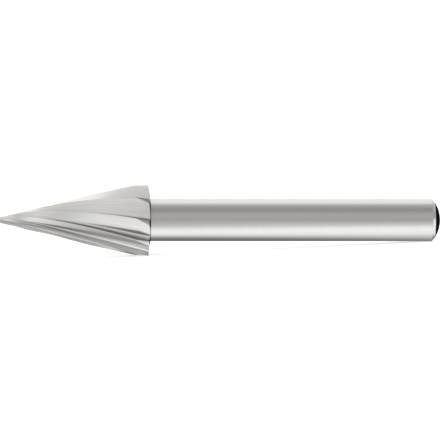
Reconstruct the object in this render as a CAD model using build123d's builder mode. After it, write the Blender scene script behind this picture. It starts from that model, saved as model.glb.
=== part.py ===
from build123d import *
import math
import os

os.makedirs("parts", exist_ok=True)

# A one-piece rotary burr with a pointed cone head, lying on two of its teeth and on the end of its shank.
# Millimetres and degrees, +Z up, nose towards -X, and the floor at Z = 0 under the middle of the burr.
# Stations along the burr are measured on its own axis, from the nose of the head.

# Head
head_diameter = 10.2
head_length = 21.1  # nose to the rear edge of the teeth
band_length = 1.85  # full-diameter length behind the cone
nose_radius = 0.48
rear_face_depth = 0.3  # how far the sloping rear face runs back to the shank

# Shank
shank_diameter = 6.0
shank_length = 41.0  # rear face to the top of the crowned end
shank_chamfer = 0.4
crown_height = 0.8

# Teeth. Their section is drawn at the head's full diameter and shrinks in proportion along the cone.
tooth_count = 10
helix_angle = 10.0  # right hand
gullet_depth = 1.1
root_bevel = 0.25  # setback of the narrow slope that softens the gullet's root
edge_land = 0.08  # ground flat left behind each cutting edge
back_bulge = 0.02  # how far the arched back of a tooth stands out from flat

# Construction of the flute cutter
cutter_margin = 1.0  # how far the cutter runs past the blank
cutter_stations = 15

# Sizes that follow
head_radius = head_diameter / 2
shank_radius = shank_diameter / 2
pitch_angle = 360 / tooth_count
rear_station = head_length + rear_face_depth
shank_end_station = rear_station + shank_length
crown_station = shank_end_station - crown_height
chamfer_station = crown_station - shank_chamfer
cone_length = head_length - band_length
crown_rim_radius = shank_radius - shank_chamfer
crown_radius = (crown_rim_radius**2 + crown_height**2) / (2 * crown_height)

# The cone is tangent to the round nose and reaches the full radius where the band starts
nose_to_shoulder = math.hypot(cone_length - nose_radius, head_radius)
cone_half_angle = math.degrees(
    math.atan2(head_radius, cone_length - nose_radius) - math.asin(nose_radius / nose_to_shoulder)
)
cone_slope = math.tan(math.radians(cone_half_angle))
apex_station = cone_length - head_radius / cone_slope


def cone_radius(station):
    """Radius of the cone, continued past the nose and through the band."""
    return (station - apex_station) * cone_slope


def polar(radius, angle):
    """Point of a section, at an angle from the cutting edge towards the open side of its flute."""
    return (radius * math.cos(math.radians(angle)), -radius * math.sin(math.radians(angle)))


# The back of a tooth is a shallow arch from its land down to the foot of the next tooth's rake face,
# which is radial
land_angle = math.degrees(edge_land / head_radius)
back_top_angle = pitch_angle - land_angle
back_top = Vector(*polar(head_radius, back_top_angle))
back_foot = Vector(*polar(head_radius - gullet_depth, 0))
back_chord = back_foot - back_top
back_radius = (back_chord.length**2 / 4 + back_bulge**2) / (2 * back_bulge)
back_outward = Vector(back_chord.Y, -back_chord.X).normalized()
back_centre = (back_top + back_foot) / 2 - back_outward * (back_radius - back_bulge)
back_centre_angle = math.degrees(math.atan2(-back_centre.Y, back_centre.X))


def back_angle(radius):
    """Angle from the cutting edge at which the tooth's back reaches a radius of the section."""
    reach = back_centre.length
    swing = (reach**2 + radius**2 - back_radius**2) / (2 * reach * radius)
    return back_centre_angle - math.degrees(math.acos(swing))


# At rest the burr leans on the rear corners of two neighbouring teeth and on the shank's lower end edge
rear_cone_radius = cone_radius(head_length)
rear_land_angle = pitch_angle - back_angle(head_radius**2 / rear_cone_radius)
rest_gap_angle = pitch_angle - rear_land_angle
rest_radius = head_radius * math.cos(math.radians(rest_gap_angle / 2))
tilt = math.atan2(rest_radius - shank_radius, chamfer_station - head_length)
axis_direction = Vector(math.cos(tilt), 0, -math.sin(tilt))
axis_height_at_nose = head_length * math.sin(tilt) + rest_radius * math.cos(tilt)
nose_reach = nose_radius * math.cos(tilt) - nose_radius
crown_reach = (shank_end_station - crown_radius) * math.cos(tilt) + crown_radius
nose_point = Vector(-(nose_reach + crown_reach) / 2, 0, axis_height_at_nose)

# The burr's own frame: Z along the axis towards the shank, X up. The second plane holds the turned
# profiles, with X along the axis and Y as the radius.
burr_plane = Plane(nose_point, x_dir=(math.sin(tilt), 0, math.cos(tilt)), z_dir=axis_direction)
profile_plane = Plane(nose_point, x_dir=axis_direction, z_dir=burr_plane.y_dir)
burr_axis = Axis(nose_point, axis_direction)


def edge_position(station):
    """Angle of a cutting edge about the axis: a constant helix angle along the cone."""
    rear_position = 180 - (pitch_angle + rear_land_angle) / 2
    lead_ratio = math.tan(math.radians(helix_angle)) / cone_slope
    twist = lead_ratio * math.log(cone_radius(station) / rear_cone_radius)
    return rear_position + math.degrees(twist)


# Flute cutter, in the burr's own frame: the same section at every station, scaled to the cone
first_radius = cone_radius(0) / 2
last_radius = cone_radius(rear_station + cutter_margin)
station_ratio = (last_radius / first_radius) ** (1 / (cutter_stations - 1))
outer_radius = (head_radius + cutter_margin) / math.cos(math.radians(pitch_angle / 2))

with BuildPart() as flute:
    for index in range(cutter_stations):
        local_radius = first_radius * station_ratio**index
        station = apex_station + local_radius / cone_slope
        share = local_radius / head_radius
        foot = polar(share * (head_radius - gullet_depth), 0)
        back_end = polar(share * outer_radius, back_angle(outer_radius))
        rake_end = polar(share * outer_radius, 0)
        with BuildSketch(Plane.XY.offset(station).rotated((0, 0, edge_position(station)))) as section:
            with BuildLine():
                ThreePointArc(foot, polar(share * head_radius, back_top_angle), back_end)
                Polyline(back_end, rake_end, foot)
            make_face()
            chamfer(section.vertices().sort_by_distance(foot)[0], share * root_bevel)
    loft()

with BuildPart(burr_plane) as burr:
    # Head blank: round nose, cone, full-diameter band and sloping rear face
    with BuildSketch(profile_plane):
        with BuildLine():
            nose_arc = CenterArc((nose_radius, 0), nose_radius, 90 + cone_half_angle, 90 - cone_half_angle)
            Polyline(
                nose_arc @ 0,
                (cone_length, head_radius),
                (head_length, head_radius),
                (rear_station, shank_radius),
                (rear_station, 0),
                nose_arc @ 1,
            )
        make_face()
    revolve(axis=burr_axis)

    # Flutes, ground one after another
    for tooth in range(tooth_count):
        add(flute.part, rotation=(0, 0, tooth * pitch_angle), mode=Mode.SUBTRACT)

    # Shank, with a chamfer and a crowned end
    with BuildSketch(profile_plane):
        with BuildLine():
            Polyline(
                (shank_end_station, 0),
                (head_length, 0),
                (head_length, shank_radius),
                (chamfer_station, shank_radius),
                (crown_station, crown_rim_radius),
            )
            RadiusArc((crown_station, crown_rim_radius), (shank_end_station, 0), crown_radius)
        make_face()
    revolve(axis=burr_axis)

burr.part.label = "burr"
export_step(burr.part, "parts/burr.step")
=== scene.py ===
"""A one-piece rotary burr: a pointed cone head with ten ground teeth on a plain ground shank.

The burr lies at rest on the floor, nose towards -X. Its surface is one closed grid that is worked out from
the sizes below. Lengths are metres and angles are radians where nothing else is said. Stations run along the
burr's own axis, from the nose of the head to the end of the shank.
"""

import math
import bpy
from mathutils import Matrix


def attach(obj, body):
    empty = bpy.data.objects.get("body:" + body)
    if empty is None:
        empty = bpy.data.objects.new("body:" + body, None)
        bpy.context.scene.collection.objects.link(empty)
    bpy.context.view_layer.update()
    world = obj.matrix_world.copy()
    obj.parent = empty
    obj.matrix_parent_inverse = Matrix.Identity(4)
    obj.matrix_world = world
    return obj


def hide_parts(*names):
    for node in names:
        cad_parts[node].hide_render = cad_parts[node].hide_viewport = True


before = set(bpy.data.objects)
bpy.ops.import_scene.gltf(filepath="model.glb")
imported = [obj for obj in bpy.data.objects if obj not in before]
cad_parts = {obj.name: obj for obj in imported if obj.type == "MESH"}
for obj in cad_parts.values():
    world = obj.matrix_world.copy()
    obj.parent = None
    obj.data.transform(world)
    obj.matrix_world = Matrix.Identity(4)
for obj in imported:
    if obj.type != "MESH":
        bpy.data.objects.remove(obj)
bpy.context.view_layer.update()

from types import SimpleNamespace

import bpy
import numpy as np
from mathutils import Matrix, Vector

bl_info = {
    "name": "Rotary Burr",
    "version": (1, 0, 0),
    "blender": (4, 5, 0),
    "location": "View3D > Sidebar > Burr",
    "description": "Makes a pointed cone burr with ground teeth, its steel finishes and a small studio",
    "category": "Mesh",
}

NODE = "burr"
BODY = "root"
PIECE = "cone_burr"
MAP = "ground_lines"
GULLET = "gullet"

# Materials of the piece, in the order of its slots
MATERIALS = ("fine_ground_teeth", "satin_ground_shank", "painted_dark_reflection_and_shade")
TEETH, SHANK, PAINTED_DARK = range(len(MATERIALS))

MILLIMETRES = 1000.0  # in a metre


# Sizes and colours


def length(name, description, default):
    """A length property in metres."""
    return bpy.props.FloatProperty(
        name=name, description=description, default=default, min=0.0, unit="LENGTH", precision=5
    )


def angle(name, description, degrees):
    """An angle property, kept in radians."""
    return bpy.props.FloatProperty(
        name=name, description=description, default=math.radians(degrees), subtype="ANGLE"
    )


def share(name, description, default):
    """A plain number from 0 to 1."""
    return bpy.props.FloatProperty(name=name, description=description, default=default, min=0.0, max=1.0)


def colour(name, description, default):
    """A linear colour."""
    return bpy.props.FloatVectorProperty(
        name=name, description=description, default=default, size=3, subtype="COLOR", min=0.0, max=1.0
    )


class HeadSizes(bpy.types.PropertyGroup):
    """Sizes of the toothed head."""

    diameter: length("Diameter", "Diameter over the teeth, behind the cone", 0.0102)
    span: length("Length", "Nose to the rear edge of the teeth", 0.0211)
    band: length("Band", "Full-diameter length behind the cone", 0.00185)
    nose_radius: length("Nose radius", "Round of the nose", 0.00048)
    rear_face: length("Rear face", "How far the sloping rear face runs back to the shank", 0.0003)
    teeth: bpy.props.IntProperty(name="Teeth", description="Number of teeth", default=10, min=4, max=24)
    helix: angle("Helix", "Helix angle of the teeth, right hand", 10.0)
    gullet_depth: length("Gullet depth", "Depth of a gullet where the head has its full diameter", 0.0011)
    root_radius: length("Root radius", "Round at the foot of a gullet, at full diameter", 0.00042)
    land: length("Land", "Ground flat left behind each cutting edge", 0.00008)
    bulge: length("Bulge", "How far the arched back of a tooth stands out from flat", 0.00002)


class ShankSizes(bpy.types.PropertyGroup):
    """Sizes of the shank."""

    diameter: length("Diameter", "Diameter of the shank", 0.006)
    span: length("Length", "Rear face of the head to the top of the crowned end", 0.041)
    chamfer: length("Chamfer", "Chamfer at the end of the shank", 0.0004)
    crown: length("Crown", "Height of the crowned end", 0.0008)


class Finishes(bpy.types.PropertyGroup):
    """Colours and polish of the steel."""

    steel: colour("Steel", "Colour of the ground steel", (0.82, 0.818, 0.812))
    # Darker than the steel partly for the coarser grind and partly as painted shade in the recess
    gullet: colour("Gullet", "Colour of the coarser steel at the foot of a gullet", (0.75, 0.745, 0.735))
    # Painted shade: the colour that rake faces and roots take where they face up
    painted_shade: colour("Film", "Colour of the dark film in gullets that face up", (0.35, 0.338, 0.33))
    # Painted dark: a dark reflection on the shank's end, and shade on the rear face
    scale: colour("Scale", "Colour of the dark skin left by hardening", (0.004, 0.004, 0.0045))
    tooth_roughness: share("Tooth roughness", "Roughness of the ground teeth", 0.2)
    shank_roughness: share("Shank roughness", "Roughness of the ground shank", 0.24)


class StudioSettings(bpy.types.PropertyGroup):
    """Floor, lamp and camera."""

    floor: colour("Floor", "Colour of the floor", (0.85, 0.85, 0.85))
    floor_size: length("Floor size", "Width of the floor", 4.0)
    lamp_power: bpy.props.FloatProperty(
        name="Lamp power",
        description="Power of the soft lamp overhead",
        default=0.55,
        min=0.0,
        subtype="POWER",
    )
    distance: length("Camera distance", "Camera to the burr's axis", 0.75)
    rise: angle("Camera rise", "How far the camera looks down on the burr's axis", 4.7)
    swing: angle("Camera swing", "How far the camera stands round towards the nose", 2.8)
    aim: length("Camera aim", "Station on the axis at the middle of the picture", 0.031245)
    view_width: length("View width", "Width that the picture takes in at the burr", 0.06212)


# Shape

# Steps of the grid along one tooth's outline: its land, its back, the round root and the rake face
LAND_STEPS, BACK_STEPS, ROOT_STEPS, RAKE_STEPS = 4, 16, 10, 7

# Steps of the grid along the burr: the bare and the fluted part of the round nose, the cone, the band, the
# rear face, the shank, its chamfer and its crowned end
CAP_STEPS, NOSE_STEPS, CONE_STEPS, BAND_STEPS = 5, 6, 73, 8
REAR_STEPS, SHANK_STEPS, CHAMFER_STEPS, CROWN_STEPS = 10, 25, 3, 11

NOSE_SEARCH = 400  # stations tried on the round nose to find where the flutes start
FLUTE_MARGIN = 1.004  # the first fluted ring stands this much outside the foot of the rake face
REAR_MARGIN = 0.00003  # from the band's last ring to the rear edge
SHARP_ANGLE = math.radians(28)

# Gullet mask: its value on the cutting edge, its fall from the foot to the top of the rake face, and the
# stations between which it grows from 0 on the nose side, so that the coarser and darker foot of a gullet
# and its painted shade fade out towards the nose, where the gullets are shallow
EDGE_MASK, RAKE_FALL = -0.5, 0.25
BARE_STATION, FULL_MASK_STATION = 0.003, 0.0095

# Painted dark on the rear face, which stands for shade: the points of the outline that it starts with behind
# each land, and the step from which it goes all round, in the corner at the shank
PAINTED_DARK_POINTS, PAINTED_DARK_STEP = 5, 5


def shape_of(head, shank):
    """Works out the sizes that follow from the named ones, as the solid model does.

    The cone is tangent to the round nose and reaches the full radius where the band starts. Every section of
    the teeth is one section, drawn at the full diameter and scaled to the cone. In that section a gullet is
    the radial rake face of one tooth, a round root, and the shallow arched back of the tooth before it.
    """
    s = SimpleNamespace()
    s.radius, s.shank_radius, s.nose = head.diameter / 2, shank.diameter / 2, head.nose_radius
    s.teeth, s.pitch = head.teeth, 2 * math.pi / head.teeth
    s.head_end, s.cone_end = head.span, head.span - head.band
    s.rear_end = head.span + head.rear_face
    s.rear_slope = (s.radius - s.shank_radius) / (s.rear_end - s.head_end)
    s.end = s.rear_end + shank.span
    s.crown_start = s.end - shank.crown
    s.chamfer_start = s.crown_start - shank.chamfer
    s.rim = s.shank_radius - shank.chamfer
    s.crown_radius = (s.rim**2 + shank.crown**2) / (2 * shank.crown)

    reach = math.hypot(s.cone_end - s.nose, s.radius)
    half_angle = math.atan2(s.radius, s.cone_end - s.nose) - math.asin(s.nose / reach)
    s.slope = math.tan(half_angle)
    s.apex = s.cone_end - s.radius / s.slope
    s.nose_end = s.nose * (1 - math.sin(half_angle))
    s.twist_ratio = math.tan(head.helix) / s.slope

    # Back of a tooth: an arc from its land down to the foot of the next rake face
    top_angle = s.pitch - head.land / s.radius
    top = complex(s.radius * math.cos(top_angle), -s.radius * math.sin(top_angle))
    foot = complex(s.radius - head.gullet_depth, 0)
    chord = foot - top
    s.back_radius = (abs(chord) ** 2 / 4 + head.bulge**2) / (2 * head.bulge)
    outward = complex(chord.imag, -chord.real) / abs(chord)
    s.back_centre = (top + foot) / 2 - outward * (s.back_radius - head.bulge)

    # Round root: a circle in the open gullet that touches the rake face and the back
    root = head.root_radius
    swing = math.sqrt((s.back_radius + root) ** 2 - (root + s.back_centre.imag) ** 2)
    s.root, s.root_centre = root, complex(s.back_centre.real + swing, -root)
    touch = s.back_centre + (s.root_centre - s.back_centre) * s.back_radius / (s.back_radius + root)
    s.root_touch = math.atan2(touch.imag, touch.real)
    s.rake_foot = s.root_centre.real

    # At rest the burr leans on the rear corners of two teeth and on the lower edge of the shank's end
    s.rear_cone = (s.head_end - s.apex) * s.slope
    rear_land = s.pitch - float(back_angle(s, s.radius**2 / s.rear_cone))
    s.rear_edge = math.pi - (s.pitch + rear_land) / 2
    rest = s.radius * math.cos((s.pitch - rear_land) / 2)
    tilt = math.atan2(rest - s.shank_radius, s.chamfer_start - s.head_end)
    height = s.head_end * math.sin(tilt) + rest * math.cos(tilt)
    nose_reach = s.nose * math.cos(tilt) - s.nose
    crown_reach = (s.end - s.crown_radius) * math.cos(tilt) + s.crown_radius
    s.nose_point = np.array((-(nose_reach + crown_reach) / 2, 0.0, height))
    s.along = np.array((math.cos(tilt), 0.0, -math.sin(tilt)))
    s.up = np.array((math.sin(tilt), 0.0, math.cos(tilt)))
    s.side = np.array((0.0, -1.0, 0.0))
    return s


def back_angle(s, radius):
    """Angle from the next rake face to the back at a radius of the section, by the cosine rule."""
    reach = abs(s.back_centre)
    swing = (reach**2 + radius**2 - s.back_radius**2) / (2 * reach * radius)
    return math.atan2(-s.back_centre.imag, s.back_centre.real) - np.arccos(swing)


def ray_to_circle(angles, centre, radius):
    """Distance from the origin, along rays at some angles, to the far side of a circle: how far its centre
    lies along the ray, plus half the chord."""
    along = centre.real * np.cos(angles) + centre.imag * np.sin(angles)
    across = abs(centre) ** 2 - along**2
    return along + np.sqrt(np.maximum(radius**2 - across, 0.0))


def nose_radius_at(s, station):
    """Radius of the round nose at a station, by Pythagoras on its circle."""
    return np.sqrt(np.maximum(2 * s.nose * station - station**2, 0.0))


def edge_turn(s, station):
    """Angle of a cutting edge about the axis: on a cone a constant helix angle turns with the logarithm of
    the radius."""
    return s.rear_edge + s.twist_ratio * np.log((station - s.apex) * s.slope / s.rear_cone)


def in_steps(start, end, count):
    """Values from a start to an end in a count of even steps, with both ends."""
    return np.linspace(start, end, count + 1)


def tooth_outline(s, clip):
    """One tooth of the section, from its cutting edge to the next one, for rows of clip radii.

    The land is an arc at the clip radius. The back follows its arc down to the round root, and the rake face
    goes straight out to the clip radius. Radii and angles are returned as arrays of row by point, with the
    length run along the outline and the gullet mask. The mask grows to 0 along the land, stays 0 on the back,
    grows round the root to 1, and falls a little up the rake face.
    """
    clip = clip[:, None]
    corner = -back_angle(s, clip)
    land = in_steps(0, 1, LAND_STEPS)[None, :-1]
    land_angle = land * (s.pitch + corner)
    land_radius = np.broadcast_to(clip, land_angle.shape)

    fall = in_steps(0, 1, BACK_STEPS)[None, :-1]
    back = corner + (s.root_touch - corner) * fall
    back_radius = ray_to_circle(back, s.back_centre, s.back_radius)

    # The root's circle is followed from where it touches the back to where it touches the rake face
    curl = in_steps(0, 1, ROOT_STEPS)[None, :-1]
    start = np.angle(s.back_centre - s.root_centre)
    swing = start + ((np.pi / 2 - start + np.pi) % (2 * np.pi) - np.pi) * curl
    root = s.root_centre + s.root * np.exp(1j * swing)
    root = np.broadcast_to(root, (len(clip), root.shape[1]))

    rise = in_steps(0, 1, RAKE_STEPS)[None, :-1]
    rake_radius = s.rake_foot + (clip - s.rake_foot) * rise

    radius = np.hstack((land_radius, back_radius, np.abs(root), rake_radius))
    turn = np.hstack(
        (land_angle, back + s.pitch, np.angle(root) + s.pitch, np.full(rake_radius.shape, s.pitch))
    )
    closed = np.hstack((radius * np.exp(1j * turn), clip * np.exp(1j * s.pitch)))
    run = np.cumsum(np.abs(np.diff(closed, axis=1)), axis=1)
    run = np.hstack((np.zeros_like(clip), run))
    mask = np.hstack((EDGE_MASK * (1 - land), np.zeros_like(fall), curl, 1 - RAKE_FALL * rise))
    return radius, turn, run, np.repeat(mask, len(clip), axis=0)


def all_round(s, radius, turn, run, mask):
    """Repeats one tooth's outline round the axis and keeps the length that has been run round it.

    A tooth counts for the same length in every row, so that lines of equal run follow the teeth.
    """
    rows = len(radius)
    tooth = np.arange(s.teeth)[None, :, None]
    turn = (turn[:, None, :] + tooth * s.pitch).reshape(rows, -1)
    run = run * (run[-1, -1] / run[:, -1:])
    total = run[:, -1:]
    run = np.hstack(((run[:, None, :-1] + tooth * total[:, :, None]).reshape(rows, -1), total * s.teeth))
    return np.tile(radius, (1, s.teeth)), turn, run, np.tile(mask, (1, s.teeth))


def toothed_rings(s):
    """Rings of the toothed head, as station, radius, angle, run and mask arrays, with two stations on the
    nose: where its bare part ends and where the first of these rings stands.

    A ring is the section scaled to the cone and clipped to the turned blank, which is the round nose, the
    cone or the band. On the cone the rings grow by a constant ratio.
    """
    # The nose is bare up to the gullets' deepest point, and whole teeth start at the foot of the rake face
    scale = s.slope / s.radius
    fine = np.linspace(s.nose_end / NOSE_SEARCH, s.nose_end, NOSE_SEARCH)
    clip = nose_radius_at(s, fine) / ((fine - s.apex) * scale)
    bare_end = np.interp(abs(s.root_centre) - s.root, clip, fine)
    fluted_start = np.interp(s.rake_foot * FLUTE_MARGIN, clip, fine)

    nose = in_steps(fluted_start, s.nose_end, NOSE_STEPS)
    growth = (s.cone_end - s.apex) / (s.nose_end - s.apex)
    cone = s.apex + (s.nose_end - s.apex) * growth ** in_steps(0, 1, CONE_STEPS)[1:]
    band = in_steps(s.cone_end, s.head_end - REAR_MARGIN, BAND_STEPS)[1:]
    station = np.concatenate((nose, cone, band, (s.head_end,)))
    blank = np.minimum((station - s.apex) * s.slope, s.radius)
    blank = np.where(station < s.nose_end, nose_radius_at(s, station), blank)
    local = (station - s.apex) * scale
    radius, turn, run, mask = all_round(s, *tooth_outline(s, blank / local))
    fade = np.clip((station - BARE_STATION) / (FULL_MASK_STATION - BARE_STATION), 0, 1)[:, None]
    mask = np.where(mask > 0, mask * fade, mask)

    # The last ring lies on the rear face, whose radius falls as the station grows
    at = np.repeat(station[:, None], radius.shape[1], axis=1)
    grow = radius[-1] * scale
    at[-1] = (s.radius + s.rear_slope * s.head_end + grow * s.apex) / (grow + s.rear_slope)
    real = radius * (at - s.apex) * scale
    real[-1] = np.minimum(real[-1], s.radius)
    return (at, real, turn + edge_turn(s, at), run, mask), bare_end, fluted_start


def plain_rings(stations, radii, start, outline, run):
    """Plain rings from a start angle. Their points are spread round evenly by the length run along a toothed
    outline, and each ring has the given run. The mask is 0."""
    stations, radii = np.broadcast_arrays(np.atleast_1d(stations), np.atleast_1d(radii))
    shape = (len(stations), len(outline) - 1)
    return (
        np.broadcast_to(stations[:, None], shape),
        np.broadcast_to(radii[:, None], shape),
        np.broadcast_to(start + 2 * np.pi * outline[:-1] / outline[-1], shape),
        np.broadcast_to(run, (len(stations), len(run))),
        np.zeros(shape),
    )


def burr_rings(s):
    """Rings of the whole surface from the nose to the shank's end, as station, radius, angle, run and mask
    arrays, and the material slot at each of their points.

    Nose: plain rings on the round. Teeth: the toothed rings. Rear face: each point of the last of them slides
    on the sloping face to the shank's circle. Shank: plain rings, then the chamfer and the crowned end.
    """
    teeth, bare_end, fluted_start = toothed_rings(s)
    first_run, last_run = teeth[3][0], teeth[3][-1]
    shank_run = last_run / last_run[-1] * 2 * np.pi * s.shank_radius

    def shank_rings(stations, radii):
        """Plain rings whose points stand in line with the last toothed ring."""
        return plain_rings(stations, radii, edge_turn(s, s.head_end), last_run, shank_run)

    # Rings of the nose come closer towards its pole
    cap_at = bare_end * in_steps(0, 1, CAP_STEPS)[1:] ** 2
    cap = plain_rings(cap_at, nose_radius_at(s, cap_at), edge_turn(s, fluted_start), first_run, first_run)

    slide = in_steps(0, 1, REAR_STEPS)[1:, None]
    foot = shank_rings(s.rear_end, s.shank_radius)
    rear_at, _, rear_turn, rear_run, _ = (a[-1:] * (1 - slide) + b * slide for a, b in zip(teeth, foot))
    rear_radius = s.radius - s.rear_slope * (rear_at - s.head_end)
    rear = (rear_at, rear_radius, rear_turn, rear_run, np.zeros_like(rear_at))

    plain = shank_rings(in_steps(s.rear_end, s.chamfer_start, SHANK_STEPS)[1:], s.shank_radius)
    chamfer = shank_rings(
        in_steps(s.chamfer_start, s.crown_start, CHAMFER_STEPS)[1:],
        in_steps(s.shank_radius, s.rim, CHAMFER_STEPS)[1:],
    )

    # The crown is a cap of a ball, with rings at even angles from its rim to its pole
    lean = math.asin(s.rim / s.crown_radius) * in_steps(1, 0, CROWN_STEPS)[1:-1]
    crown = shank_rings(s.end - s.crown_radius * (1 - np.cos(lean)), s.crown_radius * np.sin(lean))

    parts = (cap, teeth, rear, plain, chamfer, crown)
    rings = [len(part[0]) for part in parts]
    points = rear_at.shape[1]
    # The crowned end takes the painted dark, which stands for a dark reflection
    slots = np.repeat((TEETH, TEETH, TEETH, SHANK, SHANK, PAINTED_DARK), rings)
    slots = np.repeat(slots[:, None], points, axis=1)

    # Painted shade goes on the rear face behind each land, one point wider with each step, and in the corner
    step = np.arange(REAR_STEPS)[:, None]
    point = np.arange(points) % (points // s.teeth)
    rear_start = rings[0] + rings[1]
    rear_slots = slots[rear_start : rear_start + REAR_STEPS]
    rear_slots[(step >= PAINTED_DARK_STEP) | (point < PAINTED_DARK_POINTS + step)] = PAINTED_DARK
    return [np.vstack(a) for a in zip(*parts)], slots


def burr_surface(s):
    """Places the rings in the scene and joins them: a point is the nose, plus its station along the
    axis, plus its radius turned about the axis. Quads join neighbouring rings, and a fan closes each pole."""
    (at, radius, turn, run, mask), slots = burr_rings(s)
    rings, count = at.shape
    points = (
        s.nose_point
        + at[..., None] * s.along
        + (radius * np.cos(turn))[..., None] * s.up
        + (radius * np.sin(turn))[..., None] * s.side
    ).reshape(-1, 3)
    poles = s.nose_point + np.array((0.0, s.end))[:, None] * s.along
    nose_pole, end_pole = len(points), len(points) + 1
    points = np.vstack((points, poles))

    # Corners go round each face so that it faces outwards
    ring, spot = np.meshgrid(np.arange(rings - 1), np.arange(count), indexing="ij")
    after = (spot + 1) % count
    here, there = ring * count, (ring + 1) * count
    quads = np.stack((here + spot, here + after, there + after, there + spot), axis=-1)
    first, second, last = spot[0], after[0], (rings - 1) * count
    nose_fan = np.stack((np.full(count, nose_pole), second, first), axis=-1)
    end_fan = np.stack((np.full(count, end_pole), last + first, last + second), axis=-1)

    # Map for the ground lines: millimetres along the axis, and millimetres run round the outline
    ground = np.stack((np.repeat(at[:, :1], count + 1, axis=1), run), axis=-1) * MILLIMETRES
    quad_map = np.stack(
        (ground[ring, spot], ground[ring, spot + 1], ground[ring + 1, spot + 1], ground[ring + 1, spot]),
        axis=-2,
    )
    nose_map = np.stack((ground[0, :-1], ground[0, 1:], ground[0, :-1]), axis=-2)
    end_map = np.stack((ground[-1, :-1], ground[-1, :-1], ground[-1, 1:]), axis=-2)
    corner_map = np.concatenate([part.reshape(-1, 2) for part in (quad_map, nose_map, end_map)])

    corners = np.concatenate((quads.ravel(), nose_fan.ravel(), end_fan.ravel()))
    sizes = np.repeat((4, 3), ((rings - 1) * count, 2 * count))
    # The fan at the crowned end takes the painted dark as well
    slots = np.concatenate((slots[1:].ravel(), np.full(count, TEETH), np.full(count, PAINTED_DARK)))
    return points, corners, sizes, slots, corner_map, np.append(mask.ravel(), (0.0, 0.0))


def make_mesh(name, points, corners, sizes, slots, corner_map, mask):
    """Puts whole arrays into a new mesh: points, faces, material slots, the map and the gullet mask."""
    mesh = bpy.data.meshes.new(name)
    mesh.vertices.add(len(points))
    mesh.vertices.foreach_set("co", points.astype(np.float32).ravel())
    mesh.loops.add(len(corners))
    mesh.loops.foreach_set("vertex_index", corners.astype(np.int32))
    mesh.polygons.add(len(sizes))
    starts = np.concatenate(((0,), np.cumsum(sizes)[:-1]))
    mesh.polygons.foreach_set("loop_start", starts.astype(np.int32))
    mesh.polygons.foreach_set("material_index", slots.astype(np.int32))
    mesh.polygons.foreach_set("use_smooth", np.ones(len(sizes), bool))
    mesh.uv_layers.new(name=MAP).data.foreach_set("uv", corner_map.astype(np.float32).ravel())
    mesh.attributes.new(GULLET, "FLOAT", "POINT").data.foreach_set("value", mask.astype(np.float32))
    mesh.update(calc_edges=True)
    mesh.validate()
    mesh.set_sharp_from_angle(angle=SHARP_ANGLE)
    return mesh


# Node helpers


def node(tree, kind, **values):
    """Adds a node. A value that names an input sets its default, and any other sets the node's property."""
    made = tree.nodes.new(kind)
    for name, value in values.items():
        if name in made.inputs:
            made.inputs[name].default_value = value
        else:
            setattr(made, name, value)
    return made


def feed(tree, socket, value):
    """Links an input to another node's output, or sets it to a plain number or colour."""
    if isinstance(value, bpy.types.NodeSocket):
        tree.links.new(value, socket)
    elif isinstance(value, (int, float)):
        socket.default_value = value
    else:
        socket.default_value = (*value, 1.0)


def split(tree, vector):
    """The three parts of a vector."""
    made = node(tree, "ShaderNodeSeparateXYZ")
    feed(tree, made.inputs[0], vector)
    return made.outputs


def math_node(tree, operation, *values):
    """A Math node whose inputs are outputs of other nodes or numbers, returned as its output."""
    made = node(tree, "ShaderNodeMath", operation=operation)
    for socket, value in zip(made.inputs, values):
        feed(tree, socket, value)
    return made.outputs[0]


def ramp_between(tree, value, low, high, top=1.0):
    """A smooth step of a value, from 0 where it is low to a top value where it is high."""
    made = node(tree, "ShaderNodeMapRange", interpolation_type="SMOOTHSTEP")
    feed(tree, made.inputs["Value"], value)
    for name, number in (("From Min", low), ("From Max", high), ("To Max", top)):
        feed(tree, made.inputs[name], number)
    return made.outputs["Result"]


def mix_colours(tree, factor, first, second):
    """Mixes two colours by a factor. A Mix node has its colours in inputs 6 and 7 and in output 2."""
    made = node(tree, "ShaderNodeMix", data_type="RGBA")
    for index, value in ((0, factor), (6, first), (7, second)):
        feed(tree, made.inputs[index], value)
    return made.outputs[2]


def blend(tree, factor, first, second):
    """Mixes two numbers by a factor. A Mix node has its numbers in inputs 2 and 3 and in output 0."""
    made = node(tree, "ShaderNodeMix")
    for index, value in ((0, factor), (2, first), (3, second)):
        feed(tree, made.inputs[index], value)
    return made.outputs[0]


def new_group(name, inputs, outputs):
    """A shader node group with named inputs (name, kind, default) and outputs (name, kind)."""
    tree = bpy.data.node_groups.new(name, "ShaderNodeTree")
    for label, kind, default in inputs:
        socket = tree.interface.new_socket(label, in_out="INPUT", socket_type=kind)
        if default is not None:
            socket.default_value = default
    for label, kind in outputs:
        tree.interface.new_socket(label, in_out="OUTPUT", socket_type=kind)
    return tree, tree.nodes.new("NodeGroupInput"), tree.nodes.new("NodeGroupOutput")


def new_material(name):
    """A material with only its Principled BSDF and output, returned with its tree and shader."""
    material = bpy.data.materials.new(name)
    material.use_nodes = True
    tree = material.node_tree
    return material, tree, tree.nodes["Principled BSDF"]


# Finishes

# Spans over which a shade comes in
TONE_SPAN = (0.3, 0.7)  # tone of the lines: darker steel
COARSE_SPAN = (0.5, 1.0)  # gullet mask: coarser steel, darker partly as painted shade
PAINTED_SHADE_SPAN = (0.2, 0.5)  # gullet mask: painted shade
LAND_SPAN = (-0.05, -0.4)  # gullet mask: darker towards the cutting edge
FACING_UP = (0.55, 0.85)  # upward part of the normal: painted shade

LAND_SHADE = 0.68  # brightness of the cutting edges beside the ground steel
COARSENESS = 0.14  # what the foot of a gullet adds to the roughness

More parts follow.
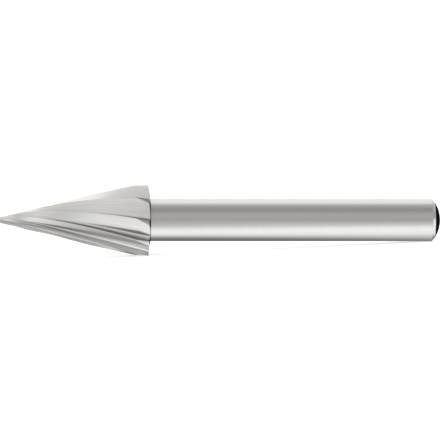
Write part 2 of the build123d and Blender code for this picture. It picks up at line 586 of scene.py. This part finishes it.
# Painted dark of the shank's end and the rear face, whose mottling is noise with paler and rougher spots
MOTTLE_SCALE = 2600.0  # per metre
MOTTLE_SPAN = (0.35, 0.75)  # noise over which a spot comes in
MOTTLE_SHADE = 2.2  # brightness of a spot beside the dark
PAINTED_DARK_ROUGHNESS, MOTTLE_ROUGHNESS = 0.42, 0.15  # of the dark, and what a spot adds


def shaded(tint, part):
    """A colour at a part of its brightness, or above 1 at a multiple."""
    return tuple(channel * part for channel in tint)


def grinding_group():
    """Lines left by a grinding wheel: noise that is stretched along the lines, in two sizes.

    Inputs are the place in millimetres (along the lines, across them), how far one line runs, and its width.
    Lines is the height of the scratches, and Tone is a slower change of the polish from line to line.
    """
    tree, given, out = new_group(
        "grinding_lines",
        (
            ("Place", "NodeSocketVector", None),
            ("Run", "NodeSocketFloat", 6.0),
            ("Width", "NodeSocketFloat", 0.04),
        ),
        (("Lines", "NodeSocketFloat"), ("Tone", "NodeSocketFloat")),
    )
    along, across, _ = split(tree, given.outputs["Place"])
    along = math_node(tree, "DIVIDE", along, given.outputs["Run"])
    across = math_node(tree, "DIVIDE", across, given.outputs["Width"])
    for label, spread, detail in (("Lines", 1.0, 3.0), ("Tone", 7.0, 1.0)):
        place = node(tree, "ShaderNodeCombineXYZ")
        feed(tree, place.inputs[0], along)
        feed(tree, place.inputs[1], math_node(tree, "DIVIDE", across, spread))
        noise = node(tree, "ShaderNodeTexNoise", Scale=1.0, Detail=detail, Roughness=0.6)
        feed(tree, noise.inputs["Vector"], place.outputs[0])
        feed(tree, out.inputs[label], noise.outputs["Fac"])
    return tree


def ground_lines(tree, group, run, width, round_axis=False):
    """Places the grinding group on the piece's own map, with its lines along the burr or round its axis. The
    run and the width of a line are in millimetres. Returns the lines and their tone."""
    place = node(tree, "ShaderNodeUVMap", uv_map=MAP).outputs[0]
    if round_axis:
        along, across, _ = split(tree, place)
        turned = node(tree, "ShaderNodeCombineXYZ")
        feed(tree, turned.inputs[0], across)
        feed(tree, turned.inputs[1], along)
        place = turned.outputs[0]
    made = node(tree, "ShaderNodeGroup", node_tree=group, Run=run, Width=width)
    feed(tree, made.inputs["Place"], place)
    return made.outputs["Lines"], made.outputs["Tone"]


def toned_steel(tree, tone, steel, part, top):
    """Steel that goes towards a part of its own brightness from line to line, by a top share at most."""
    return mix_colours(tree, ramp_between(tree, tone, *TONE_SPAN, top=top), steel, shaded(steel, part))


def toned_roughness(tree, tone, middle, swing):
    """Roughness that swings about its middle with the tone of the lines."""
    return math_node(tree, "MULTIPLY_ADD", tone, swing, middle - swing / 2)


def bump(tree, shader, height, distance):
    """Feeds a height, in metres times distance, to the shader's normal."""
    made = node(tree, "ShaderNodeBump", Distance=distance)
    feed(tree, made.inputs["Height"], height)
    feed(tree, shader.inputs["Normal"], made.outputs[0])


def tooth_material(group, look):
    """Teeth: fine lines run along each gullet, and the steel is darker towards each cutting edge. The rake
    faces and roots are coarser and darker, partly as painted shade in the recess, and have more painted shade
    where they face up."""
    _, tree, shader = new_material(MATERIALS[TEETH])
    shader.inputs["Metallic"].default_value = 1.0
    lines, tone = ground_lines(tree, group, run=9.0, width=0.05)
    gullet = node(tree, "ShaderNodeAttribute", attribute_name=GULLET).outputs["Fac"]
    coarse_and_shaded = ramp_between(tree, gullet, *COARSE_SPAN)
    # Painted shade where the rake faces and roots face up
    upward = split(tree, node(tree, "ShaderNodeTexCoord").outputs["Normal"])[2]
    painted_shade = math_node(
        tree, "MULTIPLY", ramp_between(tree, upward, *FACING_UP), ramp_between(tree, gullet, *PAINTED_SHADE_SPAN)
    )
    steel = toned_steel(tree, tone, look.steel, part=0.62, top=0.14)
    steel = mix_colours(tree, ramp_between(tree, gullet, *LAND_SPAN), steel, shaded(look.steel, LAND_SHADE))
    # The foot of a gullet takes the gullet colour: coarser steel, darker partly as painted shade in the
    # recess
    steel = mix_colours(tree, coarse_and_shaded, steel, look.gullet)
    feed(tree, shader.inputs["Base Color"], mix_colours(tree, painted_shade, steel, look.painted_shade))
    rough = toned_roughness(tree, tone, look.tooth_roughness, swing=0.12)
    feed(tree, shader.inputs["Roughness"], math_node(tree, "MULTIPLY_ADD", coarse_and_shaded, COARSENESS, rough))
    bump(tree, shader, lines, distance=0.0000015)


def shank_material(group, look):
    """Shank: a fine satin grind whose lines run round it."""
    _, tree, shader = new_material(MATERIALS[SHANK])
    shader.inputs["Metallic"].default_value = 1.0
    lines, tone = ground_lines(tree, group, run=3.0, width=0.05, round_axis=True)
    feed(tree, shader.inputs["Base Color"], toned_steel(tree, tone, look.steel, part=0.7, top=0.05))
    feed(tree, shader.inputs["Roughness"], toned_roughness(tree, tone, look.shank_roughness, swing=0.05))
    bump(tree, shader, lines, distance=0.0000004)


def painted_dark_material(look):
    """Painted dark, slightly mottled: a painted dark reflection on the shank's end, and painted shade on
    parts of the rear face.
    """
    _, tree, shader = new_material(MATERIALS[PAINTED_DARK])
    shader.inputs["Specular IOR Level"].default_value = 0.0
    noise = node(tree, "ShaderNodeTexNoise", Scale=MOTTLE_SCALE, Detail=4.0, Roughness=0.6)
    feed(tree, noise.inputs["Vector"], node(tree, "ShaderNodeTexCoord").outputs["Object"])
    mottle = ramp_between(tree, noise.outputs["Fac"], *MOTTLE_SPAN)
    skin = mix_colours(tree, mottle, look.scale, shaded(look.scale, MOTTLE_SHADE))
    feed(tree, shader.inputs["Base Color"], skin)
    rough = math_node(tree, "MULTIPLY_ADD", mottle, MOTTLE_ROUGHNESS, PAINTED_DARK_ROUGHNESS)
    feed(tree, shader.inputs["Roughness"], rough)
    bump(tree, shader, noise.outputs["Fac"], distance=0.000012)


# Studio

# The room over the shank and over the head, by degrees of turn from straight in front, up and over, with its
# brightness there. The first gives way to the second by how far a direction leans towards the head's side.
OVER_SHANK = ((0, 0.39), (25, 0.46), (38, 0.44), (57, 0.3), (65, 0.3), (80, 0.4), (92, 0.47), (110, 0.5))
OVER_HEAD = ((0, 0.76), (20, 0.83), (60, 0.83), (90, 0.95))
HALF_TURN = 180.0
HEAD_SIDE = ((0, 0.0), (0.16, 0.4), (0.32, 0.6), (0.42, 0.85), (0.5, 1.0))
HEAD_SIDE_REACH = 0.6

# The lean over which the shank's side comes in, and how much darker the room and the backdrop are there
SHANK_SIDE = (0.25, 0.75)
ROOM_FALL, BACKDROP_FALL = 0.14, 0.45

# The white backdrop, which takes over from the room by how far a direction points behind the burr
BACKDROP, BACKDROP_RISE = 0.95, 0.35  # its brightness, and what the head's side adds
BEHIND, BEHIND_SHIFT = (0.02, 0.42), 0.12  # span of that, and how much sooner it comes on the head's side

EVEN_LIGHT = 0.9  # brightness of the studio for all that isn't glossy
WHITE, ROOM_TINT = (1.0, 1.0, 1.0), (1.0, 0.975, 0.955)

# Painted shadow and light on the paper that only the steel reflects, by millimetres in front of the shank and
# of the head: dark where the burr stands over it, then a bright strip, then dimmer paper.
# Behind the burr the same starts a few millimetres further out.
SHANK_PAINTED_REFLECTION = (
    (0, 0.2), (1, 0.3), (2, 0.72), (3, 1.04), (4.5, 1.12), (6, 1.04), (8, 0.84), (10, 0.7),
    (15, 0.6), (24, 0.53), (60, 0.49),
)
HEAD_PAINTED_REFLECTION = (
    (0, 0.5), (1.5, 0.62), (3, 0.76), (5, 0.9), (8, 0.95), (11, 0.86), (15, 0.75), (25, 0.7),
    (60, 0.66),
)
PAINTED_REFLECTION_REACH, PAINTED_REFLECTION_BEHIND = 60.0, -5.0  # millimetres
HEAD_REFLECTION_SPAN = (-0.010, -0.024)  # X over which the head's painted reflection takes over from the shank's

# Plain white past the shank's end, where the painted shadow stops: the spans of X and of millimetres from the
# burr over which it comes in
PAST_END_SPAN = (0.0308, 0.0318)
NEAR_SPAN = (12.0, 6.0)

CAMERA_GLOW = 0.6  # light added to the floor for the camera, which leaves a faint shadow

LAMP_SIZE = (0.5, 0.4)
LAMP_PLACE = (-0.12, 0.2, 0.45)
CAMERA_CLIP = (0.01, 20.0)


def ramp_through(tree, value, stops, full, top=1.2):
    """Runs a value through straight stretches between stops of place and brightness. Full is the place that
    the ramp ends at, and top the brightness that its white stands for."""
    made = node(tree, "ShaderNodeValToRGB")
    feed(tree, made.inputs[0], math_node(tree, "DIVIDE", value, full))
    ramp = made.color_ramp
    while len(ramp.elements) < len(stops):
        ramp.elements.new(1.0)
    for element, (place, bright) in zip(ramp.elements, stops):
        element.position = place / full
        element.color = (bright / top,) * 3 + (1.0,)
    return math_node(tree, "MULTIPLY", made.outputs[0], top)


def studio_world():
    """The studio as the steel reflects it, by direction: a dim and slightly warm room in front, brighter
    towards the head's side, and a white backdrop behind. Both are darker towards the shank's side. The camera
    sees plain white, and everything that isn't glossy is lit by an even soft white."""
    world = bpy.data.worlds.new("studio")
    world.use_nodes = True
    tree = world.node_tree
    tree.nodes.clear()
    x, y, z = split(tree, node(tree, "ShaderNodeTexCoord").outputs["Generated"])
    turn = math_node(tree, "ARCTAN2", z, math_node(tree, "MULTIPLY", y, -1.0))
    turn = math_node(tree, "DEGREES", turn)
    left = math_node(tree, "MULTIPLY", x, -1.0)
    left = ramp_through(tree, left, HEAD_SIDE, HEAD_SIDE_REACH, top=1.0)
    right = ramp_between(tree, x, *SHANK_SIDE)

    over_shank = ramp_through(tree, turn, OVER_SHANK, HALF_TURN)
    over_head = ramp_through(tree, turn, OVER_HEAD, HALF_TURN)
    room = blend(tree, left, over_shank, over_head)
    room = math_node(tree, "MULTIPLY_ADD", right, -ROOM_FALL, room)
    backdrop = math_node(tree, "MULTIPLY_ADD", right, -BACKDROP_FALL, BACKDROP)
    backdrop = math_node(tree, "MULTIPLY_ADD", left, BACKDROP_RISE, backdrop)
    behind = ramp_between(tree, math_node(tree, "MULTIPLY_ADD", left, BEHIND_SHIFT, y), *BEHIND)
    glow = blend(tree, behind, room, backdrop)

    path = node(tree, "ShaderNodeLightPath").outputs
    strength = blend(tree, path["Is Glossy Ray"], EVEN_LIGHT, glow)
    strength = blend(tree, path["Is Camera Ray"], strength, 1.0)
    in_room = math_node(tree, "SUBTRACT", 1.0, behind)
    warmth = math_node(tree, "MULTIPLY", path["Is Glossy Ray"], in_room)
    light = node(tree, "ShaderNodeBackground")
    feed(tree, light.inputs["Color"], mix_colours(tree, warmth, WHITE, ROOM_TINT))
    feed(tree, light.inputs["Strength"], strength)
    out = node(tree, "ShaderNodeOutputWorld")
    feed(tree, out.inputs[0], light.outputs[0])
    return world


def floor_material(look):
    """Pale floor: lit as it is, with light added for camera rays so that it reads as white paper.

    Glossy rays see only a glow, which changes with the distance from the burr: a painted shadow where the
    burr stands over it, a painted strip of light, and the dimmer paper further out. Past the shank's end it
    is plain white.
    """
    material, tree, shader = new_material("pale_paper")
    shader.inputs["Roughness"].default_value = 1.0
    shader.inputs["Specular IOR Level"].default_value = 0.0
    x, y, _ = split(tree, node(tree, "ShaderNodeTexCoord").outputs["Object"])
    # Painted shadow where the burr stands over the floor, and a painted strip of light, seen only in the
    # steel
    before = math_node(tree, "MULTIPLY", y, -MILLIMETRES)
    behind = math_node(tree, "MULTIPLY_ADD", y, MILLIMETRES, PAINTED_REFLECTION_BEHIND)
    away = math_node(tree, "MAXIMUM", before, behind)
    painted_reflection = blend(
        tree,
        ramp_between(tree, x, *HEAD_REFLECTION_SPAN),
        ramp_through(tree, away, SHANK_PAINTED_REFLECTION, PAINTED_REFLECTION_REACH),
        ramp_through(tree, away, HEAD_PAINTED_REFLECTION, PAINTED_REFLECTION_REACH),
    )
    past_end = ramp_between(tree, x, *PAST_END_SPAN)
    near = ramp_between(tree, away, *NEAR_SPAN)
    painted_reflection = blend(tree, math_node(tree, "MULTIPLY", past_end, near), painted_reflection, 1.0)

    path = node(tree, "ShaderNodeLightPath").outputs
    base = mix_colours(tree, path["Is Glossy Ray"], look.floor, (0.0, 0.0, 0.0))
    feed(tree, shader.inputs["Base Color"], base)
    feed(tree, shader.inputs["Emission Color"], WHITE)
    painted_reflection = math_node(tree, "MULTIPLY", path["Is Glossy Ray"], painted_reflection)
    glow = math_node(tree, "MULTIPLY_ADD", path["Is Camera Ray"], CAMERA_GLOW, painted_reflection)
    feed(tree, shader.inputs["Emission Strength"], glow)
    return material


def add_floor(scene, look):
    """A flat square under the burr."""
    half = look.floor_size / 2
    mesh = bpy.data.meshes.new("floor")
    corners = [(-half, -half, 0), (half, -half, 0), (half, half, 0), (-half, half, 0)]
    mesh.from_pydata(corners, [], [(0, 1, 2, 3)])
    mesh.materials.append(floor_material(look))
    floor = bpy.data.objects.new("floor", mesh)
    scene.collection.objects.link(floor)


def add_lamp(scene, look):
    """A soft box overhead that looks at the burr and isn't seen in the steel."""
    lamp = bpy.data.lights.new("soft_box", "AREA")
    lamp.shape = "RECTANGLE"
    lamp.size, lamp.size_y = LAMP_SIZE
    lamp.energy = look.lamp_power
    holder = bpy.data.objects.new("soft_box", lamp)
    holder.location = LAMP_PLACE
    holder.rotation_mode = "QUATERNION"
    holder.rotation_quaternion = holder.location.to_track_quat("Z", "Y")
    holder.visible_glossy = False
    scene.collection.objects.link(holder)


def add_camera(scene, look, shape):
    """A camera that looks at a station on the burr's axis from in front, turned up and round."""
    along, up, side = (Vector(v) for v in (shape.along, shape.up, shape.side))
    front = side * math.cos(look.rise) + up * math.sin(look.rise)
    above = up * math.cos(look.rise) - side * math.sin(look.rise)
    back = front * math.cos(look.swing) - along * math.sin(look.swing)
    right = along * math.cos(look.swing) + front * math.sin(look.swing)
    target = Vector(shape.nose_point) + along * look.aim
    data = bpy.data.cameras.new("camera")
    data.angle = 2 * math.atan(look.view_width / 2 / look.distance)
    data.clip_start, data.clip_end = CAMERA_CLIP
    camera = bpy.data.objects.new("camera", data)
    turned = Matrix((right, above, back)).transposed().to_4x4()
    camera.matrix_world = Matrix.Translation(target + back * look.distance) @ turned
    scene.collection.objects.link(camera)
    scene.camera = camera


# Operators


class BURR_OT_finishes(bpy.types.Operator):
    """Mixes the ground steel of the teeth and the shank, and the painted dark that stands for a dark
    reflection on the shank's end and for shade on the rear face
    """

    bl_idname = "burr.finishes"
    bl_label = "Mix Finishes"

    def execute(self, context):
        look = context.scene.burr_finishes
        group = grinding_group()
        tooth_material(group, look)
        shank_material(group, look)
        painted_dark_material(look)
        return {"FINISHED"}


class BURR_OT_body(bpy.types.Operator):
    """Makes the burr's surface from its sizes, as one closed piece that stands for the solid"""

    bl_idname = "burr.body"
    bl_label = "Make Burr"

    def execute(self, context):
        scene = context.scene
        shape = shape_of(scene.burr_head, scene.burr_shank)
        piece = bpy.data.objects.new(PIECE, make_mesh(PIECE, *burr_surface(shape)))
        scene.collection.objects.link(piece)
        for name in MATERIALS:
            piece.data.materials.append(bpy.data.materials[name])
        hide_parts(NODE)
        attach(piece, BODY)
        return {"FINISHED"}


class BURR_OT_stage(bpy.types.Operator):
    """Sets the pale floor, the soft studio light and the camera"""

    bl_idname = "burr.stage"
    bl_label = "Set Stage"

    def execute(self, context):
        scene = context.scene
        look = scene.burr_studio
        add_floor(scene, look)
        scene.world = studio_world()
        add_lamp(scene, look)
        add_camera(scene, look, shape_of(scene.burr_head, scene.burr_shank))
        scene.view_settings.view_transform = "Standard"
        return {"FINISHED"}


class BURR_PT_sidebar(bpy.types.Panel):
    """Sizes and operators of the burr"""

    bl_idname = "BURR_PT_sidebar"
    bl_label = "Rotary Burr"
    bl_space_type = "VIEW_3D"
    bl_region_type = "UI"
    bl_category = "Burr"

    def draw(self, context):
        layout = self.layout
        for name, operator in PANEL_BOXES:
            box = layout.box()
            for size in GROUPS[name].__annotations__:
                box.prop(getattr(context.scene, name), size)
            if operator:
                box.operator(operator)


GROUPS = {
    "burr_head": HeadSizes,
    "burr_shank": ShankSizes,
    "burr_finishes": Finishes,
    "burr_studio": StudioSettings,
}
PANEL_BOXES = (
    ("burr_head", None),
    ("burr_shank", "burr.body"),
    ("burr_finishes", "burr.finishes"),
    ("burr_studio", "burr.stage"),
)
CLASSES = (*GROUPS.values(), BURR_OT_finishes, BURR_OT_body, BURR_OT_stage, BURR_PT_sidebar)


def register():
    for kind in CLASSES:
        bpy.utils.register_class(kind)
    for name, kind in GROUPS.items():
        setattr(bpy.types.Scene, name, bpy.props.PointerProperty(type=kind))


def unregister():
    for name in GROUPS:
        delattr(bpy.types.Scene, name)
    for kind in reversed(CLASSES):
        bpy.utils.unregister_class(kind)


def main():
    """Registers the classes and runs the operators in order."""
    register()
    bpy.ops.burr.finishes()
    bpy.ops.burr.body()
    bpy.ops.burr.stage()


if __name__ == "__main__":
    main()
